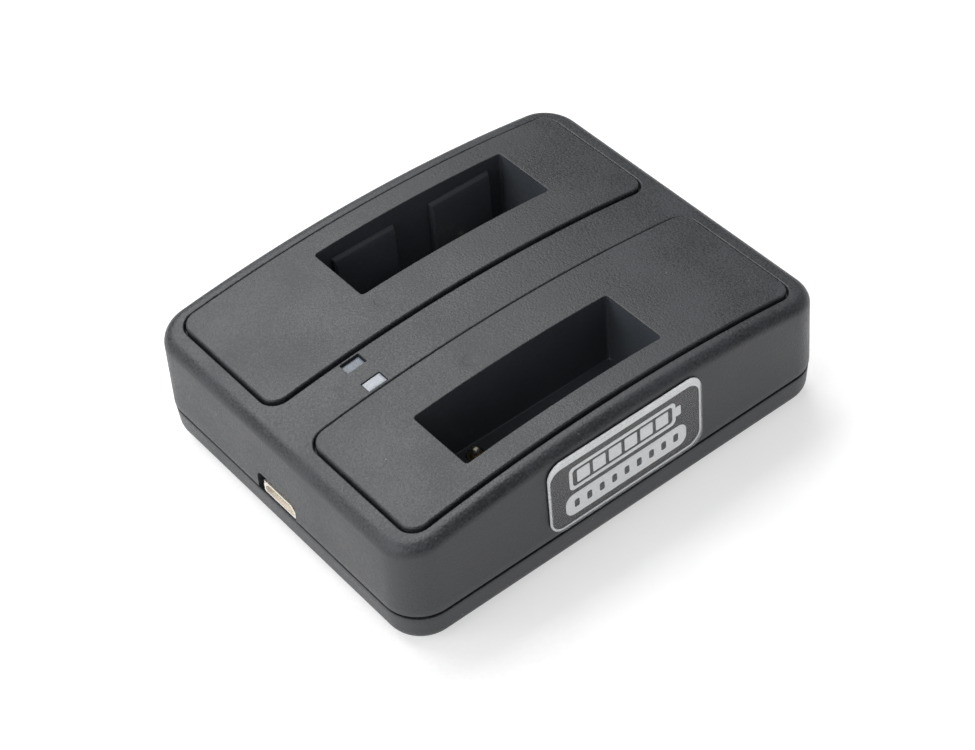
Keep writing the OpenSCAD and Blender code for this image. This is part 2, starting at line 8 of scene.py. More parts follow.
import bmesh
import bpy
import numpy as np
from mathutils import Matrix, Vector
from mathutils.geometry import delaunay_2d_cdt


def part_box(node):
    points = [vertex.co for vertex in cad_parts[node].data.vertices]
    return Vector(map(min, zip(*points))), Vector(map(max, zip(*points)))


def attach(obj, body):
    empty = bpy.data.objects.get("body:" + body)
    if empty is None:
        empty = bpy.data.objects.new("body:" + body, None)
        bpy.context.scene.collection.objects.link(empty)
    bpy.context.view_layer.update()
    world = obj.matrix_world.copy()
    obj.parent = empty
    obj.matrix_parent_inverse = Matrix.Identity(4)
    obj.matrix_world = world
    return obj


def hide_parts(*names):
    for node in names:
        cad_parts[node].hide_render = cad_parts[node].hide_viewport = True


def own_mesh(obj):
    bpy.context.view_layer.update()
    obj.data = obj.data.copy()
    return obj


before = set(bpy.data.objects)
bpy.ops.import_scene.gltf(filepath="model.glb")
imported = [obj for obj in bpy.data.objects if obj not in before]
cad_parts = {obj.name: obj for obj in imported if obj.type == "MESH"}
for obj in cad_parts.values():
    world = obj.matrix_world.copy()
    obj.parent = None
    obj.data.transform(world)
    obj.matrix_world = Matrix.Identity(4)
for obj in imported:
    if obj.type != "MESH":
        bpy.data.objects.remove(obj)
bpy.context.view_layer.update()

MM = 0.001
HOUSING = "housing"
scene = bpy.context.scene


def span(node):
    """Lowest and highest corner of a CAD node, in millimetres."""
    low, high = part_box(node)
    return np.array(low) / MM, np.array(high) / MM


# ---------- sizes, from the frame ----------

CASE_LOW, CASE_HIGH = span("top_cover")
HALF_L, HALF_W, CROWN_Z = CASE_HIGH
SEAM_Z = CASE_LOW[2]
CORNER_R = 6.0
CROWN_R = 233.0
TOP_EDGE_R = 1.9
WALL = 2.0
WALL_DRAFT = 0.25
TOP_T = 2.4

BASE_Z = span("bottom_cover")[0][2]
OVERHANG = 0.1
SEAM_GAP = 0.6
BASE_DRAFT = 0.2
BASE_EDGE_R = 2.2
FLOOR_T = 1.6
TONGUE_H = 1.5
TONGUE_T = 0.8

PLATE_LOW, PLATE_HIGH = span("bay_insert_rear")
PLATE_HALF = (PLATE_HIGH[:2] - PLATE_LOW[:2]) / 2
PLATE_Y = (PLATE_HIGH[1] + PLATE_LOW[1]) / 2
PLATE_R = 2.5
PLATE_PROUD = PLATE_HIGH[2] - CROWN_Z
PLATE_GAP = 0.35
PLATE_UNDER = 1.1
LEDGE = 1.6
LEDGE_T = 1.2

SLOT_HALF = (17.7, 5.9)
SLOT_AT = (4.7, 18.0)
SLOT_R = 0.5
SLOT_FLOOR_Z = 10.2
WELL_WALL = 1.2
WELL_BOTTOM_Z = PLATE_LOW[2]
PAD_HALF_W = 5.75
PAD_STEP = 9.2
PAD_T = 1.0
PAD_TOP_Z = 20.4
PAD_FULL_Z = 15.0

BARREL_LOW, BARREL_HIGH = span("contact_barrels_rear")
CONTACT_X = (BARREL_LOW[0] + BARREL_HIGH[0]) / 2
CONTACT_PITCH = 4.0
CONTACT_HOLE_R = 1.4

WINDOW_AT = (-21.95, 2.5)
WINDOW_HALF = (1.7, 1.05)
GUIDE_BOTTOM_Z = CROWN_Z - 8

SHELL_LOW, SHELL_HIGH = span("usb_socket_shell")
USB_HALF_W = 3.75
USB_H = 2.2
USB_Z = span("circuit_board")[1][2]
USB_OPEN_Y = 0.3
USB_OPEN_HALF = 4.6
USB_OPEN_H = 3.3
USB_OPEN_R = 1.2

LABEL_LOW, LABEL_HIGH = span("label_base")
LABEL_HALF = ((LABEL_HIGH[0] - LABEL_LOW[0]) / 2, (LABEL_HIGH[2] - LABEL_LOW[2]) / 2)
LABEL_X = (LABEL_HIGH[0] + LABEL_LOW[0]) / 2
LABEL_R = 2.5
LABEL_TILT = math.atan(WALL_DRAFT / (CROWN_Z - TOP_EDGE_R - SEAM_Z))


def crown(x):
    """Height of the arched top at a distance x from the middle."""
    return CROWN_Z - CROWN_R + np.sqrt(CROWN_R ** 2 - np.asarray(x, float) ** 2)


# ---------- outlines and skins ----------

def outline(half_x, half_y, radius, inset=0.0, nx=1, ny=1, arc=8, at=(0, 0), west=None):
    """A rounded rectangle, anticlockwise from its east side. The same counts give rings that match.

    west replaces the heights of the points on the -X side, from +Y to -Y.
    """
    cx, cy, r = half_x - radius, half_y - radius, radius - inset
    xs = np.linspace(-cx, cx, nx + 1)[1:-1]
    ys = np.linspace(-cy, cy, ny + 1)[1:-1]
    west = ys[::-1] if west is None else west
    turns = [np.radians(90 * q + 90 * np.arange(arc + 1) / arc) for q in range(4)]
    signs = [(1, 1), (-1, 1), (-1, -1), (1, -1)]
    arcs = [
        np.c_[sx * cx + r * np.cos(t), sy * cy + r * np.sin(t)] for t, (sx, sy) in zip(turns, signs)
    ]
    rows = [
        np.c_[np.full(len(ys), half_x - inset), ys], arcs[0],
        np.c_[xs[::-1], np.full(len(xs), half_y - inset)], arcs[1],
        np.c_[np.full(len(west), inset - half_x), west], arcs[2],
        np.c_[xs, np.full(len(xs), inset - half_y)], arcs[3],
    ]
    return np.vstack(rows) + np.array(at)


def circle(radius, at, count=24):
    turn = 2 * math.pi * np.arange(count) / count
    return np.c_[at[0] + radius * np.cos(turn), at[1] + radius * np.sin(turn)]


def inside(points, ring):
    """Which points lie inside a closed outline."""
    x, y = points[:, 0][:, None], points[:, 1][:, None]
    a, b = ring, np.roll(ring, -1, axis=0)
    crosses = (a[:, 1] > y) != (b[:, 1] > y)
    rise = np.where(b[:, 1] == a[:, 1], 1e-9, b[:, 1] - a[:, 1])
    at_x = a[:, 0] + (y - a[:, 1]) * (b[:, 0] - a[:, 0]) / rise
    return (crosses & (x < at_x)).sum(1) % 2 == 1


def distance(points, ring):
    """Distance of each point to a closed outline."""
    a, b = ring, np.roll(ring, -1, axis=0)
    along = b - a
    size = np.maximum((along ** 2).sum(1), 1e-12)
    t = np.clip(((points[:, None] - a) * along).sum(2) / size, 0, 1)
    near = a + t[..., None] * along
    return np.linalg.norm(points[:, None] - near, axis=2).min(1)


class Skin:
    """A mesh made from rings of points, bridges between them and filled faces."""

    def __init__(self):
        self.points = []
        self.faces = []

    def ring(self, flat, z):
        """Adds a ring of points over a flat outline, at one height or one height per point."""
        heights = np.broadcast_to(z, len(flat))
        start = len(self.points)
        self.points.extend((x, y, h) for (x, y), h in zip(flat, heights))
        return list(range(start, len(self.points)))

    def ring3(self, points):
        start = len(self.points)
        self.points.extend(tuple(p) for p in points)
        return list(range(start, len(self.points)))

    def bridge(self, a, b):
        for i in range(len(a)):
            j = (i + 1) % len(a)
            corners = [a[i], a[j], b[j], b[i]]
            kept = [c for k, c in enumerate(corners) if self.points[c] != self.points[corners[k - 1]]]
            if len(kept) > 2:
                self.faces.append(kept)

    def bridges(self, rings):
        for a, b in zip(rings, rings[1:]):
            self.bridge(a, b)
        return rings[-1]

    def cap(self, outer, holes, height, step=(2.0, 4.0)):
        """Fills between an outer ring and its holes with triangles on the surface z = height(x)."""
        rings = [outer] + holes
        flats = [np.array([self.points[i][:2] for i in ring]) for ring in rings]
        low, high = flats[0].min(0), flats[0].max(0)
        gx, gy = np.meshgrid(np.arange(low[0] + step[0], high[0], step[0]),
                             np.arange(low[1] + step[1], high[1], step[1]))
        grid = np.c_[gx.ravel(), gy.ravel()]
        keep = inside(grid, flats[0]) & (distance(grid, flats[0]) > 0.4 * step[0])
        for flat in flats[1:]:
            keep &= ~inside(grid, flat) & (distance(grid, flat) > 0.4 * step[0])
        grid = grid[keep]
        ids = [i for ring in rings for i in ring] + self.ring(grid, height(grid[:, 0]))
        edges, start = [], 0
        for ring in rings:
            n = len(ring)
            edges += [(start + k, start + (k + 1) % n) for k in range(n)]
            start += n
        flat_points = [Vector(self.points[i][:2]) for i in ids]
        _, _, faces, source, _, _ = delaunay_2d_cdt(flat_points, edges, [], 0, 1e-7)
        faces = [[source[v][0] for v in face] for face in faces]
        middles = np.array([np.mean([flat_points[v] for v in face], axis=0) for face in faces])
        keep = inside(middles, flats[0])
        for flat in flats[1:]:
            keep &= ~inside(middles, flat)
        self.faces += [[ids[v] for v in face] for face, ok in zip(faces, keep) if ok]

    def disc(self, ring):
        """Closes a convex ring with a fan."""
        middle = self.ring3([np.mean([self.points[i] for i in ring], axis=0)])[0]
        n = len(ring)
        self.faces += [[ring[k], ring[(k + 1) % n], middle] for k in range(n)]

    def build(self, name, material, body=HOUSING, place=None, sharp=32, inner=None, is_inner=None):
        """Makes the object, in metres, with smooth faces and edges sharp above an angle.

        The faces whose middle, in millimetres, passes is_inner take the material inner.
        """
        mesh = bpy.data.meshes.new(name)
        mesh.from_pydata([tuple(MM * c for c in p) for p in self.points], [], self.faces)
        bm = bmesh.new()
        bm.from_mesh(mesh)
        bmesh.ops.remove_doubles(bm, verts=bm.verts, dist=1e-8)
        loose = [v for v in bm.verts if not v.link_faces]
        bmesh.ops.delete(bm, geom=loose, context="VERTS")
        bmesh.ops.recalc_face_normals(bm, faces=bm.faces)
        for face in bm.faces:
            face.smooth = True
        for edge in bm.edges:
            edge.smooth = len(edge.link_faces) == 2 and edge.calc_face_angle() < math.radians(sharp)
        bm.to_mesh(mesh)
        bm.free()
        piece = bpy.data.objects.new(name, mesh)
        scene.collection.objects.link(piece)
        mesh.materials.append(material)
        if inner is not None:
            mesh.materials.append(inner)
            for face in mesh.polygons:
                face.material_index = int(is_inner(*(c / MM for c in face.center)))
        if place is not None:
            mesh.transform(place)
        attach(piece, body)
        return piece


def edge_round(radius, steps=5):
    """(sideways, down) steps of a quarter round, from the flat face to the wall."""
    turns = [0.5 * math.pi * k / steps for k in range(steps + 1)]
    return [(radius * (1 - math.sin(a)), radius * (1 - math.cos(a))) for a in turns]


# ---------- camera, lights and floor ----------

def make_camera():
    """A camera at the photograph's viewing angle."""
    azimuth, elevation, roll = (math.radians(a) for a in (-35.4846, 44.6449, -4.9931))
    back = Vector((math.sin(azimuth) * math.cos(elevation),
                   -math.cos(azimuth) * math.cos(elevation), math.sin(elevation)))
    right = Vector((0, 0, 1)).cross(back).normalized()
    up = back.cross(right)
    tilted_right = math.cos(roll) * right + math.sin(roll) * up
    tilted_up = math.cos(roll) * up - math.sin(roll) * right
    turn = Matrix((tilted_right, tilted_up, back)).transposed().to_4x4()
    data = bpy.data.cameras.new("camera")
    data.sensor_width = 36.0
    data.sensor_fit = "HORIZONTAL"
    data.lens = 89.66
    data.clip_start = 0.01
    camera = bpy.data.objects.new("camera", data)
    camera.matrix_world = Matrix.Translation(Vector((-150.20, -209.87, 261.45)) * MM) @ turn
    scene.collection.objects.link(camera)
    scene.camera = camera


def softbox(name, at, size, power, tint=(1, 1, 1), aim=(0, 0, 0.015)):
    """A square soft light that points at the object."""
    data = bpy.data.lights.new(name, "AREA")
    data.shape = "RECTANGLE"
    data.size, data.size_y = size
    data.energy = power
    data.color = tint
    light = bpy.data.objects.new(name, data)
    light.location = at
    toward = Vector(aim) - Vector(at)
    light.rotation_euler = toward.to_track_quat("-Z", "Y").to_euler()
    scene.collection.objects.link(light)


def make_studio():
    world = bpy.data.worlds.new("studio")
    world.use_nodes = True
    world.node_tree.nodes["Background"].inputs["Color"].default_value = (0.97, 0.98, 1.0, 1)
    world.node_tree.nodes["Background"].inputs["Strength"].default_value = 0.29
    scene.world = world
    scene.view_settings.view_transform = "Standard"
    softbox("left_light", (-0.75, 0.10, 0.42), (0.7, 0.5), 3.4)
    softbox("top_light", (0.02, 0.48, 0.72), (0.9, 0.6), 7.4)
    mesh = bpy.data.meshes.new("floor")
    bm = bmesh.new()
    bmesh.ops.create_grid(bm, x_segments=8, y_segments=8, size=3.0)
    bm.to_mesh(mesh)
    bm.free()
    floor = bpy.data.objects.new("floor", mesh)
    scene.collection.objects.link(floor)
    paper = finish("floor_paper", (0.66, 0.66, 0.66), grain=0.6, bump=0.02, rough=0.9, specular=0.1)
    glow = paper.node_tree.nodes["Principled BSDF"].inputs
    glow["Emission Color"].default_value = (1, 1, 1, 1)
    glow["Emission Strength"].default_value = 0.54
    mesh.materials.append(paper)


# ---------- materials ----------

def finish(name, color, spread=0.06, grain=0.2, bump=0.1, rough=0.5, rough_spread=0.05,
           depth=0.01, metal=0.0, clear=0.0, ior=1.5, specular=0.5, pits=0.0, stretch=(1, 1, 1),
           cloud=12.0, coat=0.0, specks=0.0, opacity=1.0):
    """A surface with grain. grain, cloud and depth are in millimetres.

    spread varies the colour, rough_spread the roughness, and pits adds rounded pits to the bump.
    specks is the distance between pale grains of dust.
    """
    material = bpy.data.materials.new(name)
    material.use_nodes = True
    nodes, links = material.node_tree.nodes, material.node_tree.links
    shader = nodes["Principled BSDF"]
    shader.inputs["Metallic"].default_value = metal
    shader.inputs["IOR"].default_value = ior
    shader.inputs["Specular IOR Level"].default_value = specular
    shader.inputs["Transmission Weight"].default_value = clear
    shader.inputs["Coat Weight"].default_value = coat
    shader.inputs["Coat Roughness"].default_value = 0.05
    shader.inputs["Alpha"].default_value = opacity

    place = nodes.new("ShaderNodeTexCoord")
    scale = nodes.new("ShaderNodeMapping")
    scale.inputs["Scale"].default_value = stretch
    links.new(place.outputs["Object"], scale.inputs["Vector"])

    def noise(size, detail, roughness=0.5):
        node = nodes.new("ShaderNodeTexNoise")
        node.inputs["Scale"].default_value = 1 / (size * MM)
        node.inputs["Detail"].default_value = detail
        node.inputs["Roughness"].default_value = roughness
        links.new(scale.outputs["Vector"], node.inputs["Vector"])
        return node.outputs["Fac"]

    def between(value, low, high, to_low, to_high):
        node = nodes.new("ShaderNodeMapRange")
        for key, number in (("From Min", low), ("From Max", high), ("To Min", to_low), ("To Max", to_high)):
            node.inputs[key].default_value = number
        links.new(value, node.inputs["Value"])
        return node.outputs["Result"]

    def combine(kind, a, b):
        node = nodes.new("ShaderNodeMath")
        node.operation = kind
        for socket, value in zip(node.inputs, (a, b)):
            if isinstance(value, (int, float)):
                socket.default_value = value
            else:
                links.new(value, socket)
        return node.outputs[0]

    fine = noise(grain, 3.0, 0.6)
    broad = noise(cloud, 3.0)
    mixed = combine("ADD", combine("MULTIPLY", fine, 0.65), combine("MULTIPLY", broad, 0.35))
    shade = nodes.new("ShaderNodeMix")
    shade.data_type = "RGBA"
    shade.inputs[6].default_value = (*[c * (1 - spread) for c in color[:3]], 1)
    shade.inputs[7].default_value = (*[min(1.0, c * (1 + spread)) for c in color[:3]], 1)
    links.new(between(mixed, 0.4, 0.6, 0, 1), shade.inputs[0])
    tone = shade.outputs[2]
    if specks:
        dust = nodes.new("ShaderNodeTexVoronoi")
        dust.inputs["Scale"].default_value = 1 / (specks * MM)
        links.new(scale.outputs["Vector"], dust.inputs["Vector"])
        dusty = nodes.new("ShaderNodeMix")
        dusty.data_type = "RGBA"
        dusty.inputs[7].default_value = (0.30, 0.30, 0.31, 1)
        reach = 0.09 / specks
        links.new(between(dust.outputs["Distance"], 0.6 * reach, reach, 1, 0), dusty.inputs[0])
        links.new(tone, dusty.inputs[6])
        tone = dusty.outputs[2]
    links.new(tone, shader.inputs["Base Color"])
    links.new(between(mixed, 0.4, 0.6, rough - rough_spread, rough + rough_spread),
              shader.inputs["Roughness"])

    height = fine
    if pits:
        cells = nodes.new("ShaderNodeTexVoronoi")
        cells.inputs["Scale"].default_value = 1 / (1.4 * grain * MM)
        links.new(scale.outputs["Vector"], cells.inputs["Vector"])
        pit = between(cells.outputs["Distance"], 0.0, 0.6, 0, 1)
        height = combine("ADD", fine, combine("MULTIPLY", pit, pits))
    relief = nodes.new("ShaderNodeBump")
    relief.inputs["Strength"].default_value = bump
    relief.inputs["Distance"].default_value = depth * MM
    links.new(height, relief.inputs["Height"])
    links.new(relief.outputs["Normal"], shader.inputs["Normal"])
    return material


# ---------- the covers ----------

CASE_COUNTS = dict(nx=26, ny=20, arc=12)


def wall_top(x):
    """Height at which the drafted side wall meets the rounded top edge."""
    return crown(x) - TOP_EDGE_R


def socket_notch(y):
    """Lowest height of the side wall over the socket opening, at each y."""
    away = np.abs(np.asarray(y, float) - USB_OPEN_Y)
    round_in = np.clip(away - (USB_OPEN_HALF - USB_OPEN_R), 0, USB_OPEN_R)
    top = SEAM_Z + USB_OPEN_H - USB_OPEN_R + np.sqrt(USB_OPEN_R ** 2 - round_in ** 2)
    return np.where(away <= USB_OPEN_HALF + 1e-6, top, SEAM_Z)


def socket_side_rows():
    """Points on the -X side, from +Y to -Y, with a pair at each upright edge of the socket opening.

    The second value says which points carry the opening.
    """
    left, right = USB_OPEN_Y + USB_OPEN_HALF, USB_OPEN_Y - USB_OPEN_HALF
    turns = np.radians(np.linspace(0, 90, 7))
    corner = USB_OPEN_R * (1 - np.cos(turns))
    far = np.linspace(HALF_W - CORNER_R, left, 9)[1:]
    mid = np.linspace(left - USB_OPEN_R, right + USB_OPEN_R, 9)[1:-1]
    near = np.linspace(right, CORNER_R - HALF_W, 9)[:-1]
    opening = np.concatenate([left - corner, mid, (right + corner)[::-1]])
    rows = np.concatenate([far, opening, near])
    carries = np.r_[np.zeros(len(far), bool), np.ones(len(opening), bool), np.zeros(len(near), bool)]
    return rows, carries


def make_top_shell(material):
    rows, carries = socket_side_rows()
    skin = Skin()
    flat0 = outline(HALF_L, HALF_W, CORNER_R, 0, west=rows, **CASE_COUNTS)
    west_start = CASE_COUNTS["ny"] - 1 + 2 * (CASE_COUNTS["arc"] + 1) + CASE_COUNTS["nx"] - 1
    floor_z = np.full(len(flat0), SEAM_Z)
    index = west_start + np.flatnonzero(carries)
    floor_z[index] = socket_notch(rows[carries])

    def case_ring(z, inset, lift=0.0):
        """A ring at height z, or above the opening, on the drafted wall and inset from it."""
        heights = np.maximum(np.broadcast_to(z, len(flat0)), floor_z + lift)
        lean = WALL_DRAFT * np.clip((heights - SEAM_Z) / (wall_top(flat0[:, 0]) - SEAM_Z), 0, 1)
        middle = outline(HALF_L, HALF_W, CORNER_R, CORNER_R, west=rows, **CASE_COUNTS)
        toward = middle - flat0
        size = np.linalg.norm(toward, axis=1)
        flat = flat0 + toward / size[:, None] * (lean + inset)[:, None]
        return skin.ring(flat, heights)

    inner = [case_ring(z, WALL) for z in (SEAM_Z, SEAM_Z + 4.5)]
    inner_flat = np.array([skin.points[i][:2] for i in inner[-1]])
    inner.append(skin.ring(inner_flat, crown(inner_flat[:, 0]) - TOP_T))
    rim = 0.12
    foot = [case_ring(SEAM_Z, 0.5), case_ring(SEAM_Z, rim)]
    foot.append(case_ring(SEAM_Z + 0.3 * rim, 0.3 * rim, 0.3 * rim))
    wall_levels = (rim, 1.3, 2.6, 3.81, 6.0, 9.0)
    walls = [case_ring(SEAM_Z + z, 0, rim) for z in wall_levels]
    top = []
    for side, down in edge_round(TOP_EDGE_R, 10)[::-1]:
        flat = outline(HALF_L, HALF_W, CORNER_R, WALL_DRAFT + side, west=rows, **CASE_COUNTS)
        top.append(skin.ring(flat, crown(flat[:, 0]) - down))
    flat = outline(HALF_L, HALF_W, CORNER_R, WALL_DRAFT + TOP_EDGE_R + 0.15, west=rows, **CASE_COUNTS)
    top.append(skin.ring(flat, crown(flat[:, 0])))
    skin.bridges(inner[::-1] + foot + walls + top)

    upper_holes, lower_holes = [], []
    half_l, half_w = PLATE_HALF
    edge = 0.28
    for turn in (1, -1):
        def opening(grow, down):
            flat = turn * outline(half_l + grow, half_w + grow, PLATE_R + grow, nx=40, ny=12, arc=8,
                                  at=(0, PLATE_Y))
            return skin.ring(flat, crown(flat[:, 0]) - down)
        rings = [opening(PLATE_GAP + edge + 0.04, 0)]
        rings += [opening(PLATE_GAP + side, down) for side, down in edge_round(edge, 4)]
        rings += [opening(PLATE_GAP, LEDGE_T), opening(-LEDGE, LEDGE_T), opening(-LEDGE, TOP_T)]
        skin.bridges(rings)
        upper_holes.append(rings[0])
        lower_holes.append(rings[-1])
    edge = 0.07
    for side_y in (1, -1):
        def window(grow, z=None, down=0.0):
            flat = outline(WINDOW_HALF[0] + grow, WINDOW_HALF[1] + grow, 0.2 + grow, nx=4, ny=3, arc=4,
                           at=(WINDOW_AT[0], side_y * WINDOW_AT[1]))
            return skin.ring(flat, crown(flat[:, 0]) - down if z is None else z)
        rings = [window(edge + 0.02)] + [window(s, down=d) for s, d in edge_round(edge, 3)]
        rings += [window(0, GUIDE_BOTTOM_Z), window(0.55, GUIDE_BOTTOM_Z), window(0.55, down=TOP_T)]
        skin.bridges(rings)
        upper_holes.append(rings[0])
        lower_holes.append(rings[-1])
    skin.cap(top[-1], upper_holes, crown, step=(1.5, 2.5))
    skin.cap(inner[-1], lower_holes, lambda x: crown(x) - TOP_T, step=(4.0, 4.0))
    shell = skin.build("top_shell", material)
    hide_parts("top_cover")


def make_lower_shell(material):
    skin = Skin()
    top_z = SEAM_Z - SEAM_GAP
    counts = dict(nx=26, ny=20, arc=12)

    def ring(inset, z):
        return skin.ring(outline(HALF_L, HALF_W, CORNER_R, OVERHANG + inset, **counts), z)

    floor_z = BASE_Z + FLOOR_T
    tongue = WALL + WALL_DRAFT + 0.15 - OVERHANG
    inside_rings = [ring(tongue + TONGUE_T, z) for z in (floor_z, SEAM_Z - 1.5)]
    lip = [ring(tongue, SEAM_Z - 1.5), ring(tongue, top_z)]
    outer = [ring(s, top_z - d) for s, d in edge_round(0.15, 4)]
    low = BASE_Z + BASE_EDGE_R
    walls = [ring(BASE_DRAFT * k / 3, top_z - 0.15 - (top_z - 0.15 - low) * k / 3) for k in (1, 2)]
    base = [ring(BASE_DRAFT + s, BASE_Z + d) for s, d in edge_round(BASE_EDGE_R, 10)[::-1]]
    base.append(ring(BASE_DRAFT + BASE_EDGE_R + 0.15, BASE_Z))
    skin.bridges(inside_rings + lip + outer + walls + base)

    under, upper = [], []
    for x in (-33, 33):
        for y in (-25.2, 25.2):
            sizes = ((2.55, 0, 1), (2.48, 0.02, 1), (2.4, 0.12, 1), (2.4, 2.4, 1), (1.35, 2.4, 1),
                     (1.35, 5.7, 1), (2.7, 5.7, 1), (2.7, FLOOR_T, 1))
            rings = [skin.ring(circle(r, (x, y)), BASE_Z + z) for r, z, _ in sizes]
            skin.bridges(rings)
            under.append(rings[0])
            upper.append(rings[-1])
    for x in (-25, 25):
        for y in (-20, 20):
            sizes = ((5.25, 0), (5.15, 0.03), (5.1, 0.15), (5.1, 0.5))
            rings = [skin.ring(circle(r, (x, y), 48), BASE_Z + z) for r, z in sizes]
            skin.bridges(rings)
            skin.disc(rings[-1])
            under.append(rings[0])
    skin.cap(base[-1], under, lambda x: np.full(len(x), BASE_Z), step=(5.0, 5.0))
    skin.cap(inside_rings[0], upper, lambda x: np.full(len(x), floor_z), step=(6.0, 6.0))
    shell = skin.build("lower_shell", material)
    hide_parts("bottom_cover")


# ---------- the bay inserts ----------

def make_insert(name, turn, mark, material, smooth):
    """A bay insert. turn is 1 for the rear one and -1 for the front one, which is turned half round."""
    skin = Skin()
    half_l, half_w = PLATE_HALF

    def surface_z(x):
        return crown(x) + PLATE_PROUD

    def plate(inset, down):
        flat = outline(half_l, half_w, PLATE_R, inset, nx=40, ny=12, arc=10, at=(0, PLATE_Y))
        return skin.ring(flat, surface_z(flat[:, 0]) - down)

    def slot(grow, z=None, down=0.0, corner=SLOT_R):
        flat = outline(SLOT_HALF[0] + grow, SLOT_HALF[1] + grow, corner + grow, nx=24, ny=8, arc=5,
                       at=SLOT_AT)
        return skin.ring(flat, surface_z(flat[:, 0]) - down if z is None else z)

    def spot(radius, down):
        flat = circle(radius, mark, 32)
        return skin.ring(flat, surface_z(flat[:, 0]) - down)

    outer = [plate(0.38, 0)] + [plate(s, d) for s, d in edge_round(0.28, 5)]
    outer.append(plate(0, PLATE_PROUD + PLATE_UNDER))
    skin.bridges(outer)
    mouth = [slot(0.24)] + [slot(s, down=d) for s, d in edge_round(0.16, 3)]
    mouth += [slot(0, 18.0), slot(0, 14.0), slot(0, SLOT_FLOOR_Z + 0.25)]
    mouth += [slot(-s, SLOT_FLOOR_Z + 0.25 - d) for s, d in ((0.02, 0.1), (0.08, 0.18), (0.16, 0.23))]
    mouth.append(slot(-0.27, SLOT_FLOOR_Z))
    skin.bridges(mouth)
    dimple = [spot(1.2, 0), spot(1.12, 0.008), spot(1.02, 0.03), spot(0.9, 0.034)]
    skin.bridges(dimple)
    skin.disc(dimple[-1])
    skin.cap(outer[0], [mouth[0], dimple[0]], surface_z, step=(1.5, 2.5))

    well_z = WELL_BOTTOM_Z
    well = [slot(WELL_WALL - s, well_z + d, corner=0.6) for s, d in ((0.3, 0), (0.09, 0.09), (0, 0.3))]
    well_top = slot(WELL_WALL, down=PLATE_PROUD + PLATE_UNDER, corner=0.6)
    skin.bridges(well + [well_top])
    skin.cap(outer[-1], [well_top], lambda x: crown(x) - PLATE_UNDER, step=(3.0, 3.0))
    floor_holes, under_holes = [], []
    for k in (-1, 0, 1):
        at = (CONTACT_X, SLOT_AT[1] + k * CONTACT_PITCH)
        rings = [skin.ring(circle(r, at), z) for r, z in (
            (CONTACT_HOLE_R + 0.15, SLOT_FLOOR_Z), (CONTACT_HOLE_R, SLOT_FLOOR_Z - 0.15),
            (CONTACT_HOLE_R, well_z))]
        skin.bridges(rings)
        floor_holes.append(rings[0])
        under_holes.append(rings[-1])
    skin.cap(mouth[-1], floor_holes, lambda x: np.full(len(x), SLOT_FLOOR_Z), step=(3.0, 3.0))
    skin.cap(well[0], under_holes, lambda x: np.full(len(x), well_z), step=(3.0, 3.0))

    for side in (-1, 1):
        middle = SLOT_AT[0] + side * PAD_STEP
        wall_y = SLOT_AT[1] + SLOT_HALF[1]
        rows = []
        for down, out in ((0, -0.1), (0.02, 0.12), (0.12, 0.34), (0.3, 0.54), (0.6, 0.7), (1.0, 0.78),
                          (1.5, PAD_T), (10.4, PAD_T)):
            soft = 0.35 * max(0.0, out) / PAD_T
            y = wall_y - out
            edge_x = PAD_HALF_W - soft
            rows.append(skin.ring3([(middle + x, yy, PAD_TOP_Z - down) for x, yy in (
                (-PAD_HALF_W, wall_y + 0.1), (-PAD_HALF_W, min(wall_y + 0.1, y + soft)), (-edge_x, y),
                (edge_x, y), (PAD_HALF_W, min(wall_y + 0.1, y + soft)), (PAD_HALF_W, wall_y + 0.1))]))
        skin.bridges(rows)
        skin.disc(rows[0])
        skin.disc(rows[-1])

    place = Matrix.Rotation(0 if turn == 1 else math.pi, 4, "Z")

    def in_slot(x, y, z):
        away = max(abs(x - SLOT_AT[0]) - SLOT_HALF[0], abs(y - SLOT_AT[1]) - SLOT_HALF[1])
        return away < 0.01 and z < surface_z(x) - 0.17

    insert = skin.build(name, material, place=place, inner=smooth, is_inner=in_slot)
    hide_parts("bay_insert_rear" if turn == 1 else "bay_insert_front")


# ---------- the label ----------

LABEL_FILM_T = 0.2
LABEL_PRINT_T = 0.05
LABEL_DOME_T = 0.63


def label_place(depth):
    """Puts a flat shape on the near side wall, its own Z pointing out of the wall."""
    lift = LABEL_LOW[2] - SEAM_Z + LABEL_HALF[1]
    return (Matrix.Translation(Vector((LABEL_X, -HALF_W, SEAM_Z)) * MM)
            @ Matrix.Rotation(math.pi / 2 - LABEL_TILT, 4, "X")
            @ Matrix.Translation(Vector((0, lift, 0.02 + depth)) * MM))


def slab(skin, flats, z0, z1, edge=0.01):
    """A thin closed slab: one outline, or a band between an outer and an inner one."""
    def ring(flat, out, z):
        middle = flat.mean(0)
        return skin.ring(middle + (flat - middle) * (1 - out / np.abs(flat - middle).max()), z)
    outer = [ring(flats[0], edge, z0), ring(flats[0], 0, z0 + edge), ring(flats[0], 0, z1 - edge),
             ring(flats[0], edge, z1)]
    skin.bridges(outer)
    if len(flats) == 1:
        skin.disc(outer[0])
        skin.disc(outer[-1])
        return
    inner = [ring(flats[1], 0, z) for z in (z0, z1)]
    skin.bridges([outer[0], inner[0], inner[1], outer[-1]])


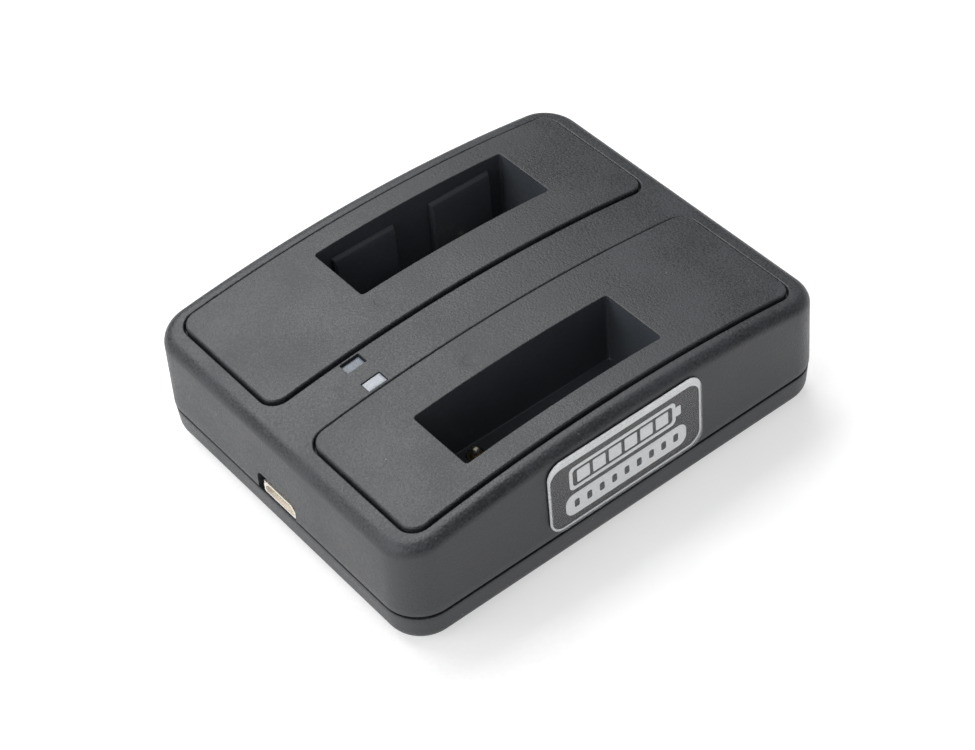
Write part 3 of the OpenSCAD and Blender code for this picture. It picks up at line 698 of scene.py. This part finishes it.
def make_label(film, ink, resin, rim_painted_reflection):
    half = LABEL_HALF
    base = Skin()
    slab(base, [outline(*half, LABEL_R, arc=12)], 0, LABEL_FILM_T, edge=0.04)
    sheet = base.build("label_film_sheet", film, place=label_place(0))
    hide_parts("label_base")

    # The silver print runs widest along the top: a printed band, widened to also serve as a painted highlight
    # where the resin dome catches the overhead light.
    rim, print_band_and_highlight = 0.35, 1.5
    inner = outline(half[0] - rim, half[1] - (rim + print_band_and_highlight) / 2, LABEL_R - rim, arc=12,
                    at=(0, (rim - print_band_and_highlight) / 2))
    marks = Skin()
    slab(marks, [outline(*half, LABEL_R, arc=12), inner], 0, LABEL_PRINT_T)
    row, nub = 1.9, 0.5
    slab(marks, [outline(9.8, 2.2, 0.9, at=(-nub, row)), outline(9.2, 1.6, 0.6, at=(-nub, row))],
         0, LABEL_PRINT_T)
    slab(marks, [outline(nub, 0.9, 0.2, at=(9.8, row))], 0, LABEL_PRINT_T)
    for k in range(6):
        slab(marks, [outline(1.15, 1.15, 0.2, at=(2.9 * (k - 2.5) - nub, row))], 0, LABEL_PRINT_T)
    bar_y = -3.1
    slab(marks, [outline(11.2, 2.0, 1.5, at=(0, bar_y))], 0, LABEL_PRINT_T)
    printed = marks.build("label_ink", ink, place=label_place(LABEL_FILM_T))
    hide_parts("label_print")

    gauge = Skin()
    for k in range(9):
        slab(gauge, [outline(0.45, 0.75, 0.3, at=(2.3 * (k - 4), bar_y))], 0, 0.012, edge=0.002)
    dark = gauge.build("label_gauge", film, place=label_place(LABEL_FILM_T + LABEL_PRINT_T))

    dome = Skin()
    reach = 0.55
    rings = []
    for k in range(11):
        turn = 0.5 * math.pi * k / 10
        flat = outline(*half, LABEL_R, reach * (1 - math.cos(turn)), nx=16, ny=8, arc=12)
        rings.append(dome.ring(flat, 0.02 + (LABEL_DOME_T - 0.02) * math.sin(turn)))
    rings.append(dome.ring(outline(*half, LABEL_R, reach + 0.08, nx=16, ny=8, arc=12), LABEL_DOME_T))
    foot = dome.ring(outline(*half, LABEL_R, 0.02, nx=16, ny=8, arc=12), 0.0)
    dome.bridges([foot] + rings)
    dome.disc(foot)
    dome.cap(rings[-1], [], lambda x: np.full(len(x), dome.points[rings[-1][0]][2]), step=(2.0, 2.0))

    # The dome's lower sides take the whiter, more opaque resin: a painted reflection for the gloss along its
    # rim.
    def painted_reflection_faces(x, y, z):
        return z < 0.75 * LABEL_DOME_T and z > 0.001

    bulge = dome.build("label_resin_dome", resin, place=label_place(LABEL_FILM_T + LABEL_PRINT_T + 0.02),
                       sharp=60, inner=rim_painted_reflection, is_inner=painted_reflection_faces)
    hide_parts("label_dome")


# ---------- small pieces ----------

def make_light_pipe(name, node, side, sunk, material):
    low, _ = span(node)
    middle = (WINDOW_AT[0], side * WINDOW_AT[1])
    gap, flange, flange_t = 0.1, 0.4, 0.8
    skin = Skin()

    def ring(grow, z=None, down=0.0):
        flat = outline(WINDOW_HALF[0] - gap + grow, WINDOW_HALF[1] - gap + grow, 0.16 + grow,
                       nx=8, ny=5, arc=4, at=middle)
        return skin.ring(flat, crown(flat[:, 0]) - sunk - down if z is None else z)

    z0 = low[2]
    rings = [ring(flange - 0.1, z0), ring(flange, z0 + 0.1), ring(flange, z0 + flange_t - 0.1),
             ring(flange - 0.1, z0 + flange_t), ring(0, z0 + flange_t), ring(0, z0 + 6)]
    rings += [ring(s, down=d) for s, d in ((0, 0.12), (-0.03, 0.04), (-0.1, 0.0))]
    skin.bridges(rings)
    skin.disc(rings[0])
    skin.cap(rings[-1], [], lambda x: crown(x) - sunk, step=(0.5, 0.5))
    pipe = skin.build(name, material)
    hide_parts(node)


def make_socket_tongue(material):
    """The ivory insulator of the socket: a base along the floor of the mouth, and a tongue over it."""
    low, high = span("usb_socket_tongue")
    soft = 0.06
    skin = Skin()
    for half, z0, z1 in ((3.3, low[2] + 0.02, low[2] + 0.56), (2.7, low[2] + 0.8, low[2] + 1.45)):
        rings = []
        for x, inset in ((low[0], soft), (low[0] + soft, 0.0), (high[0], 0.0)):
            rings.append(skin.ring3([(x, y, z) for y, z in (
                (inset - half, z0 + soft), (soft + inset - half, z0 + inset),
                (half - soft - inset, z0 + inset), (half - inset, z0 + soft),
                (half - inset, z1 - soft), (half - soft - inset, z1 - inset),
                (soft + inset - half, z1 - inset), (inset - half, z1 - soft))]))
        skin.bridges(rings)
        skin.disc(rings[0])
        skin.disc(rings[-1])
    insulator = skin.build("socket_insulator", material)
    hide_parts("usb_socket_tongue")


def make_spring(bay, number, material):
    """A close coil of round wire, built at one length; the real spring shortens as its plunger goes down."""
    node = f"contact_spring_{bay}_{number}"
    low, high = span(node)
    middle = (low + high) / 2
    wire = 0.09
    mean = 0.7
    turns, steps, sides = 6, 28, 8
    count = turns * steps
    skin = Skin()
    previous = None
    for k in range(count + 1):
        share = k / count
        around = 2 * math.pi * turns * share
        z = low[2] + wire + (high[2] - low[2] - 2 * wire) * share
        taper = wire * (0.55 + 0.45 * min(1.0, 12 * share, 12 * (1 - share)))
        ring = []
        for s in range(sides):
            b = 2 * math.pi * s / sides
            r = mean + taper * math.cos(b)
            ring.append((middle[0] + r * math.cos(around), middle[1] + r * math.sin(around),
                         z + taper * math.sin(b)))
        ring = skin.ring3(ring)
        if previous is None:
            skin.disc(ring)
        else:
            skin.bridge(previous, ring)
        previous = ring
    skin.disc(previous)
    spring = skin.build(f"coil_{bay}_{number}", material, sharp=80)
    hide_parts(node)
    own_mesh(spring)


def dress(nodes, material):
    """Gives carried-over CAD nodes a better material."""
    for node in nodes:
        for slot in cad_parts[node].material_slots:
            slot.material = material


def both_bays(stem):
    return [f"{stem}_front", f"{stem}_rear"]


def main():
    make_camera()
    make_studio()
    case = finish("case_black", (0.030, 0.032, 0.036), spread=0.45, grain=0.32, bump=1.0, rough=0.46,
                  rough_spread=0.12, depth=0.040, pits=0.5, specks=3.1)
    plate = finish("insert_black", (0.032, 0.034, 0.038), spread=0.45, grain=0.30, bump=1.0, rough=0.47,
                   rough_spread=0.12, depth=0.040, pits=0.4, specks=4.3)
    make_top_shell(case)
    make_lower_shell(case)
    smooth = finish("slot_black", (0.055, 0.061, 0.070), spread=0.15, grain=0.25, bump=0.06, rough=0.36,
                    rough_spread=0.06, depth=0.01)
    make_insert("bay_plate_rear", 1, (-11.7, 9.1), plate, smooth)
    make_insert("bay_plate_front", -1, (10.0, 9.3), plate, smooth)

    film = finish("label_film", (0.016, 0.016, 0.019), grain=0.3, rough=0.35, bump=0.01, specular=0.0,
                  coat=1.0)
    ink = finish("label_silver", (0.74, 0.75, 0.76), grain=0.3, rough=0.45, bump=0.1, spread=0.08,
                 coat=1.0)
    resin = finish("label_clear", (0.55, 0.56, 0.58), spread=0.05, grain=2.0, rough=0.06,
                   rough_spread=0.02, bump=0.02, opacity=0.04)
    # A whiter, more opaque copy of the clear resin for the dome's rim: painted reflection.
    rim = finish("label_clear_rim_painted_reflection", (0.80, 0.81, 0.82), spread=0.15, grain=1.2, rough=0.08,
                 rough_spread=0.03, bump=0.05, opacity=0.30)
    make_label(film, ink, resin, rim)

    pipe = finish("light_pipe", (0.34, 0.36, 0.40), spread=0.14, grain=0.5, rough=0.3, bump=0.1, cloud=1.5)
    # The rear guide gets a darker copy of the light pipe colour: painted shade for its deeper sink below the
    # top.
    pipe_painted_shade = finish("light_pipe_painted_shade", (0.11, 0.13, 0.165), spread=0.30, grain=0.5, rough=0.3, bump=0.1,
                       cloud=1.5)
    make_light_pipe("light_guide_front", "light_pipe_front", -1, 0.1, pipe)
    make_light_pipe("light_guide_rear", "light_pipe_rear", 1, 0.45, pipe_painted_shade)

    wire = finish("spring_steel", (0.62, 0.62, 0.64), metal=1.0, rough=0.3, grain=0.05)
    for bay in ("front", "rear"):
        for number in (1, 2, 3):
            make_spring(bay, number, wire)

    gold = finish("contact_metal", (0.86, 0.80, 0.66), metal=1.0, rough=0.25, grain=0.05, bump=0.05)
    dress([f"contact_plunger_{bay}_{k}" for bay in ("front", "rear") for k in (1, 2, 3)], gold)
    # Very dark brass for the spring barrels: painted shade for the dark contact holes under the slot floors.
    brass_painted_shade = finish("barrel_brass_painted_shade", (0.20, 0.16, 0.09), metal=1.0, rough=0.5, grain=0.05, bump=0.1)
    dress(both_bays("contact_barrels"), brass_painted_shade)
    dress(["usb_socket_contacts"], gold)
    steel = finish("socket_steel", (0.80, 0.76, 0.69), metal=0.75, rough=0.5, grain=0.3, bump=0.1,
                   stretch=(0.3, 1, 1))
    dress(["usb_socket_shell"], steel)
    make_socket_tongue(finish("socket_ivory", (0.93, 0.85, 0.74), rough=0.5, grain=0.3, bump=0.1))
    screw = finish("screw_steel", (0.55, 0.55, 0.57), metal=1.0, rough=0.35, grain=0.08)
    dress(["case_screws", "board_screws", "insert_screws"], screw)
    dress(["rubber_feet"], finish("foot_rubber", (0.022, 0.022, 0.023), rough=0.75, grain=0.12, bump=0.4))
    dress(["circuit_board"], finish("board_green", (0.03, 0.18, 0.08), rough=0.3, grain=0.4, spread=0.2))
    dress(both_bays("led"), finish("led_body", (0.86, 0.87, 0.80), rough=0.3, grain=0.2))
    dress(both_bays("charge_chip"), finish("chip_black", (0.03, 0.03, 0.03), rough=0.55, grain=0.06, bump=0.3))
    dress(both_bays("inductor"), finish("ferrite", (0.07, 0.065, 0.06), rough=0.7, grain=0.08, bump=0.5))
    dress(["bulk_capacitor"], finish("capacitor_can", (0.72, 0.73, 0.75), metal=1.0, rough=0.25, grain=0.1,
                                     stretch=(1, 1, 0.1)))
    dress(["ceramic_capacitors"], finish("capacitor_tan", (0.55, 0.42, 0.28), rough=0.55, grain=0.05))
    dress(["resistors"], finish("resistor_black", (0.04, 0.04, 0.045), rough=0.35, grain=0.05))
    dress(["solder_joints"], finish("solder_tin", (0.66, 0.67, 0.68), metal=1.0, rough=0.22, grain=0.2))


main()
